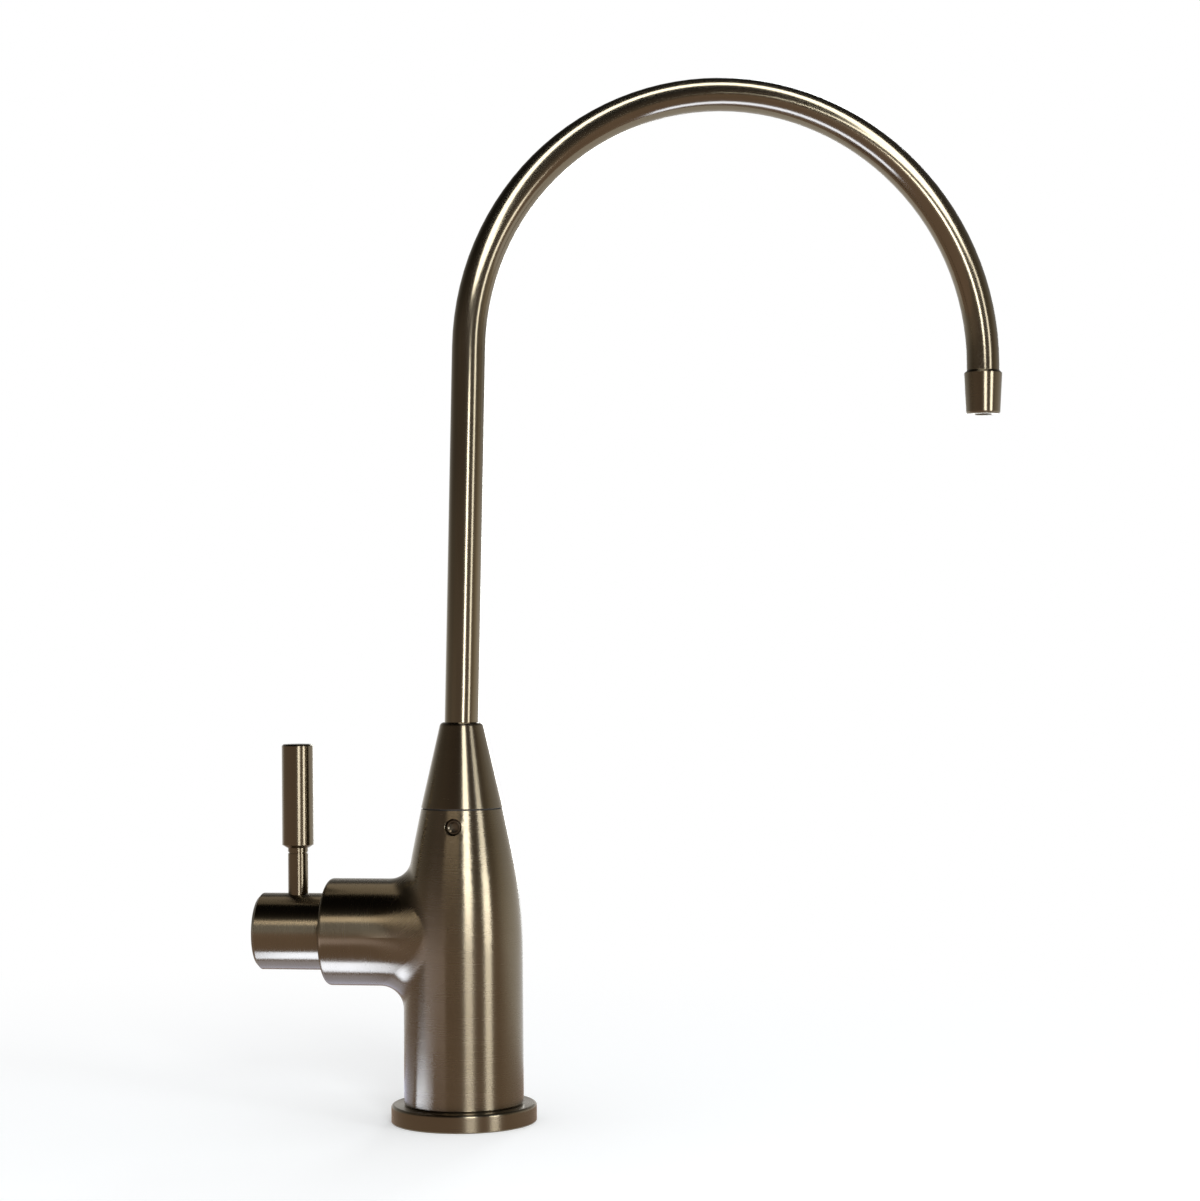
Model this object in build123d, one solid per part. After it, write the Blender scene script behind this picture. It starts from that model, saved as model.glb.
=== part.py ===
from build123d import *
from math import radians, tan
import os

# A drinking water filter tap: a bottle-shaped brass body on a round base,
# a quarter-turn valve on its left, and a swan-neck spout that swivels on top.
# Millimetres. The origin is the middle of the face that stands on the worktop,
# +Z is up, -X is the valve's side and -Y is the front.

# Cuts and fits
overrun = 1.0
running_gap = 0.05
seal_gap = 0.02
part_gap = 0.4
rim_rounding = 0.8
fine_chamfer = 0.3

# Base flange and its seal
flange_radius = 21.4
flange_height = 5.3
base_seal_radius = 17.0
base_seal_width = 3.0
base_seal_depth = 1.8

# Body
body_radius = 17.6
body_foot_chamfer = 0.4
waist_start_z = 50.0
waist_radius = 16.1
waist_z = 71.2
neck_radius = 12.1
neck_taper = 11.5
seam_z = 92.1
branch_blend = 7.0

# Water ways in the body
inlet_way_radius = 3.0
inlet_way_offset = 2.5
inlet_port_radius = 2.6
inlet_plenum_radius = 5.0
inlet_plenum_height = 4.0
outlet_way_radius = 2.8
outlet_way_offset = 5.0

# Spout socket, spigot and its rings
spigot_radius = 8.0
spigot_length = 20.0
spout_bore = 4.0
socket_floor_gap = 0.8
ring_section = 1.5
ring_corner_share = 0.3
ring_groove_slack = 0.3
lower_ring_z = 76.0
upper_ring_z = 80.6
slide_ring_radius = 11.6

# Grub screw that keeps the spout in its socket
screw_z = 87.1
screw_radius = 2.5
screw_sink = 1.2
screw_tip_radius = 1.6
screw_tip_gap = 0.3
screw_socket_flats = 2.5
screw_socket_depth = 2.2
catch_groove_depth = 1.4
catch_groove_height = 4.0

# Cone at the riser's foot
cone_height = 25.1
cone_top_radius = 6.25
cone_shoulder = 1.4
tube_seat_depth = 14.0

# Swan-neck tube
tube_radius = 5.0
tube_wall = 1.0
riser_lean = 1.5
riser_length = 111.2
arch_radius = 80.0
arch_sweep = 179.0
tail_length = 2.0
spout_swing = 20.0

# Outlet nozzle
nozzle_radius = 5.85
nozzle_mouth_radius = 5.2
nozzle_length = 13.6
nozzle_shoulder = 0.9
nozzle_socket_depth = 6.0
nozzle_bore = 2.75
nozzle_lip = 0.8

# Valve: heights are measured outwards from the body's axis along the valve
valve_z = 55.3
branch_radius = 15.8
branch_end = 40.4
branch_rim = 1.2
seat_start = 3.0
chamber_radius = 8.4
valve_thread_radius = 9.0
valve_thread_start = 30.0
valve_head_radius = 9.6
valve_head_thickness = 1.5
valve_hex_flats = 16.0
valve_hex_height = 2.9
head_ring_section = 1.2
head_ring_inner = 8.3
housing_sleeve_radius = 7.6
housing_cavity_radius = 6.8
housing_cavity_end = 24.0
housing_lip = 0.4
window_start = 12.8
window_length = 8.0
window_width = 7.0
window_count = 4

# Ceramic discs and their seal
seat_seal_thickness = 1.2
seat_seal_inner = 3.4
disc_radius = 6.6
disc_thickness = 3.0
disc_port_radius = 5.4
disc_hub_radius = 1.0
disc_port_angle = 80.0
driver_width = 6.4
tongue_width = 2.4
tongue_height = 1.2
driver_thickness = 2.4

# Spindle
spindle_radius = 4.0
spindle_waist_radius = 3.4
thrust_radius = 5.6
thrust_thickness = 2.2
thrust_washer_radius = 6.4
thrust_washer_thickness = 0.4
spindle_ring_places = (30.0, 35.0)
circlip_radius = 5.4
circlip_thickness = 0.8
circlip_groove_depth = 0.6
circlip_opening = 40.0
spline_teeth = 18
spline_depth = 0.4
spline_length = 10.6
spindle_end = 57.0

# Handle hub, lever stem and grip
hub_radius = 11.35
hub_end = 61.7
hub_cavity_radius = 10.0
hub_cavity_end = 46.4
hub_chamfer = 1.0
lever_place = 50.1
stem_radius = 3.0
stem_neck_depth = 0.25
stem_neck_height = 0.5
stem_neck_drop = 1.2
stem_in_grip = 16.0
grip_radius = 4.7
grip_foot_z = 80.2
grip_foot_chamfer = 0.9
grip_top_z = 111.0
grip_top_chamfer = 0.5

# Fixings below the worktop
worktop_gap = 20.0
shank_radius = 5.55
shank_bore = 2.6
shank_depth = 52.0
shank_seat_z = 20.0
tube_socket_radius = 3.2
tube_socket_depth = 14.0
clamp_washer_radius = 15.0
washer_bore_gap = 0.3
rubber_washer_thickness = 3.0
steel_washer_thickness = 1.5
nut_flats = 17.5
nut_height = 6.5
inlet_nut_flats = 14.5
inlet_nut_overlap = 8.0
inlet_nut_hex = 8.0
inlet_nut_skirt = 6.6
inlet_nut_floor = 2.0
ferrule_length = 5.0
ferrule_waist = 0.6

# Places that follow from the sizes above
body_top_z = seam_z - part_gap / 2
cone_foot_z = seam_z + part_gap / 2
cone_top_z = cone_foot_z + cone_height
spigot_foot_z = cone_foot_z - spigot_length
socket_floor_z = spigot_foot_z - socket_floor_gap
socket_radius = spigot_radius + running_gap
screw_flank = neck_radius + (body_top_z - screw_z) * tan(radians(neck_taper))
hub_start = branch_end + part_gap
valve_hex_end = branch_end + valve_head_thickness + valve_hex_height
disc_start = seat_start + seat_seal_thickness
moving_disc_start = disc_start + disc_thickness + seal_gap
driver_start = moving_disc_start + disc_thickness
thrust_end = housing_cavity_end - thrust_washer_thickness - seal_gap
circlip_start = valve_hex_end + seal_gap
clamp_top_z = -worktop_gap
steel_washer_z = clamp_top_z - rubber_washer_thickness
nut_top_z = steel_washer_z - steel_washer_thickness
inlet_nut_foot_z = -shank_depth - ferrule_length - inlet_nut_floor

# The valve's own frame: its Z runs outwards along -X, its X points up
valve_frame = Pos(0, 0, valve_z) * Rot(0, -90, 0)
# The spout is drawn towards +X and then swung to where the photograph has it
swing = Rot(0, 0, spout_swing)
# The riser's own frame, at the top of the cone and leaning with the tube
riser_frame = Pos(0, 0, cone_top_z) * Rot(0, riser_lean, 0)


def rod(radius, low, high):
    """A round bar on the frame's Z axis between two heights."""
    bar = Cylinder(radius, high - low, align=(Align.CENTER, Align.CENTER, Align.MIN))
    return Pos(0, 0, low) * bar


def pipe(outer, inner, low, high):
    """A round tube on the frame's Z axis between two heights."""
    return rod(outer, low, high) - rod(inner, low - overrun, high + overrun)


def hex_bar(across_flats, low, high):
    """A six-sided bar on the frame's Z axis."""
    hexagon = RegularPolygon(across_flats / 2, 6, major_radius=False)
    return Pos(0, 0, low) * extrude(hexagon, amount=high - low)


def hex_nut(across_flats, bore, low, high):
    """A plain nut with its corners turned off at both ends."""
    corner_radius = across_flats / 3 ** 0.5
    turned = chamfer(rod(corner_radius, low, high).edges(), corner_radius - across_flats / 2)
    return hex_bar(across_flats, low, high) & turned - rod(bore, low - overrun, high + overrun)


def seal_ring(outer, section, height):
    """A rubber ring that reaches out to a radius, flat-sided as it lies squeezed."""
    square = Pos(outer - section / 2, height) * Rectangle(section, section)
    profile = chamfer(square.vertices(), section * ring_corner_share)
    return revolve(Plane.XZ * profile, Axis.Z)


def ring_groove(outer, section, height):
    """The groove that a seal ring lies in, cut into a round bar."""
    half_height = section / 2 + ring_groove_slack / 2
    floor = outer - section
    return pipe(outer + overrun, floor, height - half_height, height + half_height)


def sector(radius, inner, angle, low, high):
    """A narrow slice of a thick ring, centred on the frame's Y axis."""
    reach = Vector(0, radius * 2)
    left = reach.rotate(Axis.Z, angle / 2)
    right = reach.rotate(Axis.Z, -angle / 2)
    wedge = Polygon((0, 0), (right.X, right.Y), (left.X, left.Y), align=None)
    return Pos(0, 0, low) * extrude(wedge, amount=high - low) & pipe(radius, inner, low, high)


def body_outside():
    """The turned bottle shape with the valve's branch blended into it."""
    flank = Polyline(
        (0, flange_height),
        (body_radius - body_foot_chamfer, flange_height),
        (body_radius, flange_height + body_foot_chamfer),
        (body_radius, waist_start_z),
    )
    shoulder = Spline(
        (body_radius, waist_start_z),
        (waist_radius, waist_z),
        (neck_radius, body_top_z),
        tangents=(Vector(0, 1), Vector(0, 1).rotate(Axis.Z, neck_taper)),
    )
    closing = Polyline((neck_radius, body_top_z), (0, body_top_z), (0, flange_height))
    turned = revolve(Plane.XZ * make_face(flank + shoulder + closing), Axis.Z)
    branch = valve_frame * rod(branch_radius, 0, branch_end)
    rim = branch.edges().filter_by(GeomType.CIRCLE).sort_by(Axis.X)[0]
    branch = fillet(rim, branch_rim)
    joined = turned + branch
    return fillet(new_edges(turned, branch, combined=joined), branch_blend)


def body_casting():
    """The body with its sockets, water ways and screw hole."""
    body = body_outside()
    body -= rod(socket_radius, socket_floor_z, body_top_z + overrun)
    body -= rod(shank_radius, flange_height - overrun, shank_seat_z)
    body -= rod(inlet_plenum_radius, shank_seat_z, shank_seat_z + inlet_plenum_height)
    way_top = valve_z + inlet_way_radius
    body -= Pos(inlet_way_offset, 0, 0) * rod(inlet_way_radius, shank_seat_z, way_top)
    body -= Pos(-outlet_way_offset, 0, 0) * rod(outlet_way_radius, valve_z, socket_floor_z + overrun)
    chamber = rod(chamber_radius, seat_start, branch_end)
    chamber += rod(inlet_port_radius, -inlet_way_offset, seat_start + overrun)
    chamber += rod(valve_thread_radius, valve_thread_start, branch_end + overrun)
    mouth_radius = head_ring_inner + head_ring_section
    chamber += rod(mouth_radius, branch_end - head_ring_section, branch_end + overrun)
    body -= valve_frame * chamber
    body -= Pos(0, 0, screw_z) * Rot(90, 0, 0) * rod(screw_radius, 0, body_radius)
    return body


def base_flange():
    """The round foot plate, bored for the shank and grooved below for its seal."""
    disc = rod(flange_radius, 0, flange_height)
    disc = fillet(disc.edges().sort_by(Axis.Z)[-1], rim_rounding)
    disc = chamfer(disc.edges().sort_by(Axis.Z)[0], fine_chamfer)
    disc -= rod(shank_radius + washer_bore_gap, -overrun, flange_height + overrun)
    return disc - base_seal()


def base_seal():
    """The flat rubber ring that seals the flange to the worktop."""
    outer = base_seal_radius + base_seal_width / 2
    inner = base_seal_radius - base_seal_width / 2
    return pipe(outer, inner, 0, base_seal_depth)


def threaded_shank():
    """The hollow shank that pulls the tap down; its lower end takes the pipe."""
    shank = rod(shank_radius, -shank_depth, shank_seat_z)
    shank = chamfer(shank.edges().sort_by(Axis.Z)[0], fine_chamfer)
    shank -= rod(shank_bore, -shank_depth, shank_seat_z + overrun)
    return shank - rod(tube_socket_radius, -shank_depth - overrun, -shank_depth + tube_socket_depth)


def rubber_washer():
    bore = shank_radius + washer_bore_gap
    return pipe(clamp_washer_radius, bore, steel_washer_z, clamp_top_z)


def steel_washer():
    bore = shank_radius + washer_bore_gap
    return pipe(clamp_washer_radius, bore, nut_top_z, steel_washer_z)


def fixing_nut():
    return hex_nut(nut_flats, shank_radius, nut_top_z - nut_height, nut_top_z)


def inlet_nut():
    """The compression nut on the shank's end: a hexagon with a round skirt."""
    top = -shank_depth + inlet_nut_overlap
    hex_top = inlet_nut_foot_z + inlet_nut_hex
    nut = hex_nut(inlet_nut_flats, tube_socket_radius, inlet_nut_foot_z, hex_top)
    nut += pipe(inlet_nut_skirt, shank_radius, hex_top, top)
    return nut - rod(shank_radius, inlet_nut_foot_z + inlet_nut_floor, top + overrun)


def inlet_ferrule():
    """The double-cone sleeve that the nut squeezes on to the pipe."""
    low = inlet_nut_foot_z + inlet_nut_floor
    middle = (low - shank_depth) / 2
    outer = shank_radius - running_gap
    outline = Polyline(
        (tube_socket_radius, low),
        (tube_socket_radius + ferrule_waist, low),
        (outer, middle),
        (tube_socket_radius + ferrule_waist, -shank_depth),
        (tube_socket_radius, -shank_depth),
        close=True,
    )
    return revolve(Plane.XZ * make_face(outline), Axis.Z)


def spout_grub_screw():
    """The socket screw whose tip runs in the spigot's groove."""
    groove_floor = spigot_radius - catch_groove_depth
    head = screw_flank - screw_sink
    screw = rod(screw_radius, socket_radius, head)
    screw += rod(screw_tip_radius, groove_floor + screw_tip_gap, socket_radius)
    screw -= hex_bar(screw_socket_flats, head - screw_socket_depth, head + overrun)
    return Pos(0, 0, screw_z) * Rot(90, 0, 0) * screw


def valve_housing():
    """The screwed-in headwork: sleeve with windows, thread, head and hexagon."""
    head_end = branch_end + valve_head_thickness
    groove_start = branch_end - head_ring_section
    low = seat_start + housing_lip
    housing = rod(housing_sleeve_radius, low, valve_thread_start)
    housing += rod(valve_thread_radius, valve_thread_start, groove_start)
    housing += rod(head_ring_inner, groove_start, branch_end)
    housing += rod(valve_head_radius, branch_end, head_end)
    housing += hex_bar(valve_hex_flats, head_end, valve_hex_end)
    housing -= rod(housing_cavity_radius, low - overrun, housing_cavity_end)
    housing -= rod(spindle_radius + running_gap, low, valve_hex_end + overrun)
    middle = window_start + window_length / 2
    window = Box(housing_sleeve_radius * 3, window_width, window_length)
    for index in range(window_count // 2):
        housing -= Pos(0, 0, middle) * Rot(0, 0, index * 360 / window_count) * window
    return valve_frame * housing


def head_ring():
    """The seal ring under the headwork's head."""
    outer = head_ring_inner + head_ring_section
    return valve_frame * seal_ring(outer, head_ring_section, branch_end - head_ring_section / 2)


def seat_seal():
    """The rubber washer between the valve's seat and the fixed disc."""
    return valve_frame * pipe(disc_radius, seat_seal_inner, seat_start, disc_start)


def disc_ports(low, high):
    """The two water ports that face each other in a ceramic disc."""
    port = sector(disc_port_radius, disc_hub_radius, disc_port_angle, low - overrun, high + overrun)
    return port + Rot(0, 0, 180) * port


def fixed_disc():
    """The ceramic disc that stays still; its ports lie front and back."""
    end = disc_start + disc_thickness
    return valve_frame * (rod(disc_radius, disc_start, end) - disc_ports(disc_start, end))


def driver_tongue(slack):
    """The tongue that turns the moving disc, lying across the disc's back."""
    tongue = Box(disc_radius * 2, tongue_width + slack, tongue_height)
    slot_middle = driver_start - tongue_height / 2
    return Pos(0, 0, slot_middle) * tongue & rod(disc_radius, moving_disc_start, driver_start)


def moving_disc():
    """The ceramic disc that the spindle turns, closed at rest."""
    disc = rod(disc_radius, moving_disc_start, driver_start)
    ports = Rot(0, 0, 90) * disc_ports(moving_disc_start, driver_start)
    return valve_frame * (disc - ports - Rot(0, 0, 90) * driver_tongue(running_gap))


def spline_bar(tip_radius, low, high):
    """A toothed bar: a pointed tooth and a pointed valley by turns."""
    points = []
    for index in range(spline_teeth * 2):
        radius = tip_radius - spline_depth * (index % 2)
        point = Vector(radius, 0).rotate(Axis.Z, index * 180 / spline_teeth)
        points.append((point.X, point.Y))
    return Pos(0, 0, low) * extrude(Polygon(*points, align=None), amount=high - low)


def valve_spindle():
    """The turned spindle: driver, thrust collar, journal and splined end."""
    driver_end = driver_start + driver_thickness
    driver = Pos(0, 0, driver_start + driver_thickness / 2) * Box(
        driver_width, disc_radius * 2, driver_thickness)
    spindle = driver & rod(disc_radius, driver_start, driver_end)
    spindle += Rot(0, 0, 90) * driver_tongue(-running_gap)
    spindle += rod(spindle_waist_radius, driver_end, thrust_end)
    spindle += rod(thrust_radius, thrust_end - thrust_thickness, thrust_end)
    spindle += rod(spindle_radius, thrust_end, spindle_end - spline_length)
    spindle += spline_bar(spindle_radius, spindle_end - spline_length, spindle_end)
    for place in spindle_ring_places:
        spindle -= ring_groove(spindle_radius + running_gap - seal_gap, ring_section, place)
    groove_floor = spindle_radius - circlip_groove_depth
    circlip_end = circlip_start + circlip_thickness
    spindle -= pipe(circlip_radius, groove_floor, circlip_start, circlip_end)
    return valve_frame * spindle


def spindle_rings():
    """The two seal rings on the spindle's journal."""
    outer = spindle_radius + running_gap - seal_gap
    inner_ring, outer_ring = (seal_ring(outer, ring_section, place) for place in spindle_ring_places)
    return valve_frame * (inner_ring + outer_ring)


def thrust_washer():
    """The plastic washer that the thrust collar turns against."""
    bore = spindle_radius + running_gap
    return valve_frame * pipe(thrust_washer_radius, bore, thrust_end + seal_gap, housing_cavity_end)


def spindle_circlip():
    """The open spring ring that keeps the spindle in the headwork."""
    low = circlip_start
    high = circlip_start + circlip_thickness
    clip = pipe(circlip_radius, spindle_radius - circlip_groove_depth, low, high)
    opening = sector(circlip_radius * 2, 0, circlip_opening, low - overrun, high + overrun)
    return valve_frame * (clip - opening)


def valve_hub():
    """The round hub that covers the headwork and turns with the lever."""
    hub = rod(hub_radius, hub_start, hub_end)
    hub = chamfer(hub.edges().sort_by(Axis.Z)[-1], hub_chamfer)
    hub = chamfer(hub.edges().sort_by(Axis.Z)[0], fine_chamfer)
    hub -= rod(hub_cavity_radius, hub_start - overrun, hub_cavity_end)
    hub -= spline_bar(spindle_radius + running_gap, hub_cavity_end - overrun, spindle_end + part_gap)
    stem_hole = Pos(0, 0, lever_place) * Rot(0, 90, 0) * rod(stem_radius, 0, hub_radius + overrun)
    return valve_frame * (hub - stem_hole)


def lever_stem():
    """The stem that screws into the hub and pinches the spindle."""
    foot_z = valve_z + spindle_radius + running_gap + seal_gap
    neck_z = grip_foot_z - stem_neck_drop
    neck_floor = stem_radius - stem_neck_depth
    stem = rod(stem_radius, foot_z, grip_foot_z + stem_in_grip)
    stem -= pipe(stem_radius + overrun, neck_floor, neck_z - stem_neck_height, neck_z)
    return Pos(-lever_place, 0, 0) * stem


def lever_grip():
    """The thicker round grip with a bevelled foot, fitted over the stem."""
    outline = Polyline(
        (0, grip_foot_z),
        (stem_radius + fine_chamfer, grip_foot_z),
        (grip_radius, grip_foot_z + grip_foot_chamfer),
        (grip_radius, grip_top_z - grip_top_chamfer),
        (grip_radius - grip_top_chamfer, grip_top_z),
        (0, grip_top_z),
        close=True,
    )
    grip = revolve(Plane.XZ * make_face(outline), Axis.Z)
    grip -= rod(stem_radius, grip_foot_z - overrun, grip_foot_z + stem_in_grip)
    return Pos(-lever_place, 0, 0) * grip


def spout_cone():
    """The cone at the riser's foot, in one piece with the spigot below it."""
    cone = Pos(0, 0, cone_foot_z) * Cone(
        neck_radius, cone_top_radius, cone_height, align=(Align.CENTER, Align.CENTER, Align.MIN))
    cone = fillet(cone.edges().sort_by(Axis.Z)[-1], cone_shoulder)
    cone += rod(spigot_radius, spigot_foot_z, cone_foot_z)
    for place in (lower_ring_z, upper_ring_z):
        cone -= ring_groove(socket_radius - seal_gap, ring_section, place)
    groove_floor = spigot_radius - catch_groove_depth
    groove_low = screw_z - catch_groove_height / 2
    cone -= pipe(spigot_radius + overrun, groove_floor, groove_low, groove_low + catch_groove_height)
    cone -= rod(spout_bore, spigot_foot_z - overrun, cone_top_z - tube_seat_depth + overrun)
    cone -= riser_frame * rod(tube_radius, -tube_seat_depth, overrun)
    return swing * cone


def spout_rings():
    """The two seal rings on the spigot."""
    outer = socket_radius - seal_gap
    return seal_ring(outer, ring_section, lower_ring_z) + seal_ring(outer, ring_section, upper_ring_z)


def slide_ring():
    """The plastic ring between body and cone that the spout turns on."""
    return pipe(slide_ring_radius, spigot_radius, body_top_z + seal_gap, cone_foot_z)


def spout_path():
    """The tube's centre line: riser, arch and a short straight tail."""
    riser = Line((0, -tube_seat_depth), (0, riser_length))
    arch = CenterArc((arch_radius, riser_length), arch_radius, 180, -arch_sweep)
    tail_end = arch @ 1 + (arch % 1) * (tail_length + nozzle_socket_depth)
    tail = Line(arch @ 1, tail_end)
    return riser_frame * (Plane.XZ * Curve([riser, arch, tail]))


def spout_tube():
    """The swan-neck tube, open at both ends."""
    path = spout_path()
    start = Plane(origin=path @ 0, z_dir=path % 0)
    wall = start * (Circle(tube_radius) - Circle(tube_radius - tube_wall))
    return swing * sweep(wall, path=path)


def outlet_nozzle():
    """The tapered end piece with a thick wall, a soft lip and a narrow bore."""
    path = spout_path()
    outline = Polyline(
        (0, 0),
        (nozzle_radius - nozzle_shoulder, 0),
        (nozzle_radius, nozzle_shoulder),
        (nozzle_mouth_radius, nozzle_length),
        (0, nozzle_length),
        close=True,
    )
    nozzle = revolve(Plane.XZ * make_face(outline), Axis.Z)
    nozzle = fillet(nozzle.edges().sort_by(Axis.Z)[-1], nozzle_lip)
    nozzle -= rod(tube_radius, -overrun, nozzle_socket_depth)
    nozzle -= rod(nozzle_bore, 0, nozzle_length + overrun)
    tube_end = Plane(origin=path @ 1, z_dir=path % 1)
    return swing * (tube_end.offset(-nozzle_socket_depth) * nozzle)


pieces = {
    "body_casting": body_casting,
    "base_flange": base_flange,
    "base_seal": base_seal,
    "threaded_shank": threaded_shank,
    "rubber_washer": rubber_washer,
    "steel_washer": steel_washer,
    "fixing_nut": fixing_nut,
    "inlet_nut": inlet_nut,
    "inlet_ferrule": inlet_ferrule,
    "spout_grub_screw": spout_grub_screw,
    "valve_housing": valve_housing,
    "head_ring": head_ring,
    "seat_seal": seat_seal,
    "fixed_disc": fixed_disc,
    "moving_disc": moving_disc,
    "valve_spindle": valve_spindle,
    "spindle_rings": spindle_rings,
    "thrust_washer": thrust_washer,
    "spindle_circlip": spindle_circlip,
    "valve_hub": valve_hub,
    "lever_stem": lever_stem,
    "lever_grip": lever_grip,
    "spout_cone": spout_cone,
    "spout_rings": spout_rings,
    "slide_ring": slide_ring,
    "spout_tube": spout_tube,
    "outlet_nozzle": outlet_nozzle,
}

os.makedirs("parts", exist_ok=True)
for name, make in pieces.items():
    export_step(make(), f"parts/{name}.step")
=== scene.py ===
# %% [markdown]
# # A drinking water filter tap, dressed in Blender
#
# The tap stands on a worktop: a bottle-shaped body on a round base, a lever valve on its left,
# and a swan-neck spout that swivels on a cone. Its solids come from the frame at their real
# size, so this lesson is about what a solid lacks: the brushed nickel-bronze finish, the
# threads of the screws, and a small studio whose lamps draw the long stripes on the metal.

# %% Load the frame
from math import cos, pi, radians, sin

import bpy
from mathutils import Matrix, Vector


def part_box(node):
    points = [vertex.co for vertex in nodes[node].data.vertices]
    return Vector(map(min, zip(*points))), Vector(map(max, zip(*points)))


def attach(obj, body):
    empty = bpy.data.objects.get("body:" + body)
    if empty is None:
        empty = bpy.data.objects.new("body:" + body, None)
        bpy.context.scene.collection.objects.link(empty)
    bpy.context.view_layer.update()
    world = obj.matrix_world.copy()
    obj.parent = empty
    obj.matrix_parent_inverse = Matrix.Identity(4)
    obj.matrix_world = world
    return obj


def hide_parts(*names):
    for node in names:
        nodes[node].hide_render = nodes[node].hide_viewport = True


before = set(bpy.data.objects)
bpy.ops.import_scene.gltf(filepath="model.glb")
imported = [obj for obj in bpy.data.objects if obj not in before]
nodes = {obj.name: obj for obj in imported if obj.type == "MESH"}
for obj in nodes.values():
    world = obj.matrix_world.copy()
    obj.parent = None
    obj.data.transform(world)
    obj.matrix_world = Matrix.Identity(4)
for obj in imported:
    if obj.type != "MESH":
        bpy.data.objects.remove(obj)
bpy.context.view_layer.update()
bpy.ops.object.select_all(action="DESELECT")
print("nodes loaded:", len(nodes))

# %% [markdown]
# ## The camera
#
# A product shot like this one is taken with a fairly long lens, from a little above the cone
# and tilted slightly up. The camera's place was found by matching the tap's edges, so it is
# written as what a photographer would measure: the turn around the tap, the distance, the
# tilt and a slight roll.

# %% Place the camera
FRAME_WIDTH = 1200
focal_pixels = 2573
camera_turn = radians(9.1)
camera_tilt = radians(1.24)
camera_roll = radians(-0.46)
camera_distance = 0.762
aim_across = 0.0412
aim_height = 0.1530

camera_data = bpy.data.cameras.new("camera")
camera_data.sensor_width = 36
camera_data.lens = focal_pixels / FRAME_WIDTH * camera_data.sensor_width
camera_data.clip_start = 0.01
camera = bpy.data.objects.new("camera", camera_data)
bpy.context.collection.objects.link(camera)
aim = Vector((cos(camera_turn) * aim_across, sin(camera_turn) * aim_across, aim_height))
look = Vector((
    -sin(camera_turn) * cos(camera_tilt), cos(camera_turn) * cos(camera_tilt), sin(camera_tilt)))
turn = look.to_track_quat("-Z", "Y").to_matrix() @ Matrix.Rotation(camera_roll, 3, "Z")
camera.matrix_world = Matrix.Translation(aim - look * camera_distance) @ turn.to_4x4()
bpy.context.scene.camera = camera
print("lens:", round(camera_data.lens, 1), "mm")
print("camera at:", tuple(round(value, 3) for value in camera.location))

# %% [markdown]
# ## A helper for shader nodes
#
# Every finish below is a small tree of nodes. Written out, each node takes three lines: make
# it, set its options, link or fill its inputs. One helper does all three, and takes either a
# plain value or another node's output for an input, so a tree reads from top to bottom. An
# input goes by its name, as in Line_Width, or by the letter i and its number, as in i0.

# %% Put a node into a tree
def put(tree, kind, options=None, **inputs):
    """Adds a shader node; each input is a value or another node's output."""
    node = tree.nodes.new("ShaderNode" + kind)
    for name, value in (options or {}).items():
        setattr(node, name, value)
    for name, value in inputs.items():
        numbered = name[0] == "i" and name[1:].isdigit()
        socket = node.inputs[int(name[1:]) if numbered else name.replace("_", " ")]
        if isinstance(value, bpy.types.NodeSocket):
            tree.links.new(value, socket)
        else:
            socket.default_value = value
    return node


def compute(tree, operation, *values):
    """One step of arithmetic on values or outputs."""
    inputs = {f"i{index}": value for index, value in enumerate(values)}
    return put(tree, "Math", {"operation": operation}, **inputs).outputs[0]


def compute_vector(tree, operation, *values, **inputs):
    """One step of vector arithmetic; a length or a dot product is a number."""
    inputs.update({f"i{index}": value for index, value in enumerate(values)})
    node = put(tree, "VectorMath", {"operation": operation}, **inputs)
    return node.outputs["Value" if operation in ("LENGTH", "DOT_PRODUCT") else "Vector"]


def blend_colours(tree, share, first, second):
    """A mix of two colours; share 0 is the first and share 1 the second."""
    return put(tree, "Mix", {"data_type": "RGBA"}, i0=share, i6=first, i7=second).outputs[2]


def mixed(tree, share, first, second):
    """A mix of two outputs that are both numbers or both vectors."""
    if first.type == "VECTOR":
        return put(tree, "Mix", {"data_type": "VECTOR"}, i0=share, i4=first, i5=second).outputs[1]
    return put(tree, "Mix", {"data_type": "FLOAT"}, i0=share, i2=first, i3=second).outputs[0]


def spread(tree, value, low, high, new_low, new_high):
    """Maps a range of values smoothly to another range."""
    return put(
        tree, "MapRange", {"interpolation_type": "SMOOTHSTEP"},
        i0=value, i1=low, i2=high, i3=new_low, i4=new_high).outputs[0]


def start_material(name):
    """A new material and its tree, which is still empty."""
    material = bpy.data.materials.new(name)
    material.use_nodes = True
    material.node_tree.nodes.clear()
    return material, material.node_tree


def show(tree, shader):
    """Links a shader to a new output node of the material."""
    output = tree.nodes.new("ShaderNodeOutputMaterial")
    tree.links.new(shader, output.inputs["Surface"])


def show_glow(tree, colour, radiance=1.0):
    """Ends a tree in plain emission, which shows just as bright as written."""
    show(tree, put(tree, "Emission", Color=colour, Strength=radiance).outputs[0])


def seen_rays(tree):
    """1 for the rays of the camera and of reflections, 0 for the light that fills the room."""
    ray = put(tree, "LightPath")
    seen = compute(tree, "MAXIMUM", ray.outputs["Is Camera Ray"], ray.outputs["Is Glossy Ray"])
    return compute(tree, "MAXIMUM", seen, ray.outputs["Is Transmission Ray"])


# %% [markdown]
# ## The white room
#
# The tap is shown on plain white. A white backdrop could be lit until it clips, but that
# light would also wash over the metal. Instead the world itself is white to the camera and to
# reflections, where a strength of 1 is white, and gives the surfaces a softer, even fill.

# %% Make the world white
fill_strength = 0.62
plain_white = (1, 1, 1, 1)

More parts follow.
